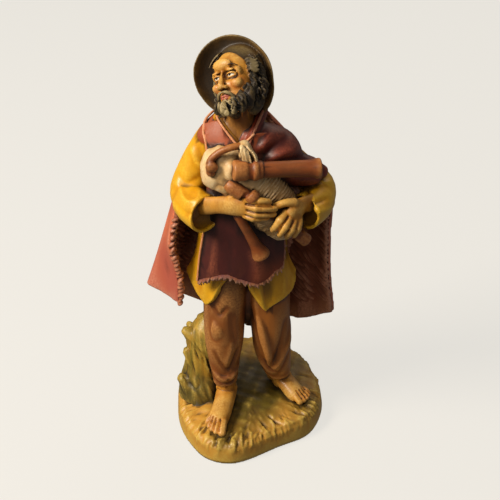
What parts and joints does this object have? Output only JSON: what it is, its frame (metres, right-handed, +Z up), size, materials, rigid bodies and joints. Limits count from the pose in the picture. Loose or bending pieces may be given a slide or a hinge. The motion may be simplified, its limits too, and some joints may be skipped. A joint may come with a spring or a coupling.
{
  "type": "nativity figurine of a bagpiper",
  "caption": "Standing bagpiper in hat, cloak and tunic with a skin bagpipe, cast in one piece with a low grassy base.",
  "frame": {"origin": "on the flat underside of the base, below the figure", "axes": "+Z up through the figure, -Y to its front, +X to the viewer's right"},
  "size_m": [0.0888, 0.087, 0.2002],
  "materials": {
    "painted_cast": "satin"
  },
  "bodies": {
    "root": {"bagpiper_figurine": "painted_cast"}
  },
  "joints": []
}
